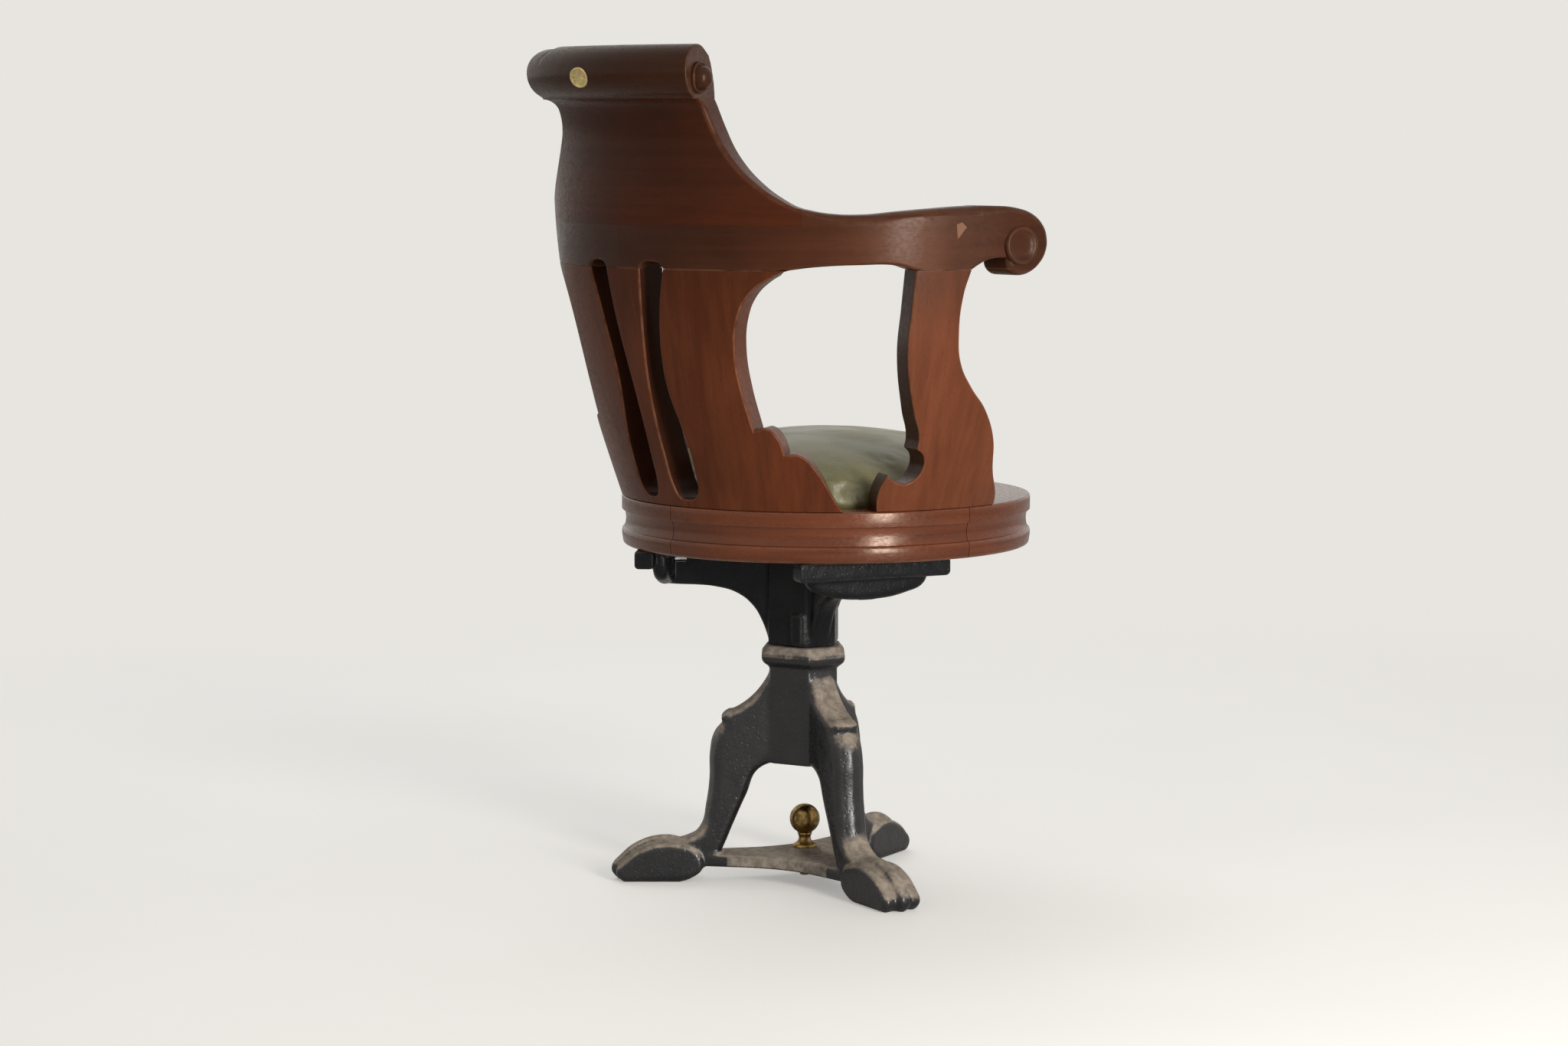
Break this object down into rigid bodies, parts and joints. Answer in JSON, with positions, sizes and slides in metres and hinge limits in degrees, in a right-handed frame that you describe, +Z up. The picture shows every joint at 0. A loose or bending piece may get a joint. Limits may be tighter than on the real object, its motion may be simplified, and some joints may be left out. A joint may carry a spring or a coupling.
{
  "type": "swivel armchair",
  "caption": "Ship's captain's armchair: a tub back of bent wood with scrolled arms on a round padded seat, turning on a three-legged cast pedestal.",
  "frame": {"origin": "where the swivel axis meets the floor, under the deck screw", "axes": "+Z is up along the swivel axis, -Y is the way a sitter faces, and +X is to the sitter's left"},
  "size_m": [0.6034, 0.543, 0.878],
  "materials": {
    "mahogany": "satin-gloss varnish, worn at the edges",
    "dark_mahogany": "darker old varnish, satin",
    "beech": "bare, planed",
    "leather": "dark green, satin",
    "iron": "black paint over a rough casting, dusty on top",
    "steel": "plain, oiled",
    "brass": "aged"
  },
  "bodies": {
    "base": {"pedestal_base": "iron", "swivel_spindle": "steel", "thrust_washer": "brass", "keeper_washer": "steel", "spindle_nut": "steel"},
    "seat": {"arm_left": "mahogany", "arm_post_left": "mahogany", "arm_post_right": "mahogany", "arm_right": "mahogany", "back_comb": "dark_mahogany", "centre_splat": "mahogany", "coach_screw_1": "steel", "coach_screw_2": "steel", "coach_screw_3": "steel", "coach_screw_4": "steel", "coach_screw_5": "steel", "coach_screw_6": "steel", "comb_dowel_left": "beech", "comb_dowel_right": "beech", "crest_boss_left": "dark_mahogany", "crest_boss_right": "dark_mahogany", "crest_dowel_left": "beech", "crest_dowel_right": "beech", "crest_plate": "brass", "crest_rail": "dark_mahogany", "panel_foot_dowel_left": "beech", "panel_foot_dowel_right": "beech", "panel_top_dowel_left": "beech", "panel_top_dowel_right": "beech", "post_foot_dowel_left": "beech", "post_foot_dowel_right": "beech", "post_top_dowel_left": "beech", "post_top_dowel_right": "beech", "ring_front_left": "mahogany", "ring_front_right": "mahogany", "ring_rear_left": "mahogany", "ring_rear_right": "mahogany", "ring_tongue_front": "beech", "ring_tongue_left": "beech", "ring_tongue_rear": "beech", "ring_tongue_right": "beech", "scroll_roundel_left": "mahogany", "scroll_roundel_right": "mahogany", "seat_board": "beech", "seat_cushion": "leather", "seat_spider": "iron", "side_panel_left": "mahogany", "side_panel_right": "mahogany", "splat_foot_dowel_left": "beech", "splat_foot_dowel_right": "beech", "swivel_bush": "brass"},
    "deck_screw": {"deck_screw": "brass"}
  },
  "joints": [
    {"name": "seat_swivel", "type": "hinge", "parent": "base", "child": "seat", "pos_m": [0, 0, 0.253], "axis": [0, 0, 1], "continuous": true},
    {"name": "deck_screw_turn", "type": "hinge", "parent": "base", "child": "deck_screw", "pos_m": [0, 0, 0.035], "axis": [0, 0, 1], "continuous": true}
  ]
}
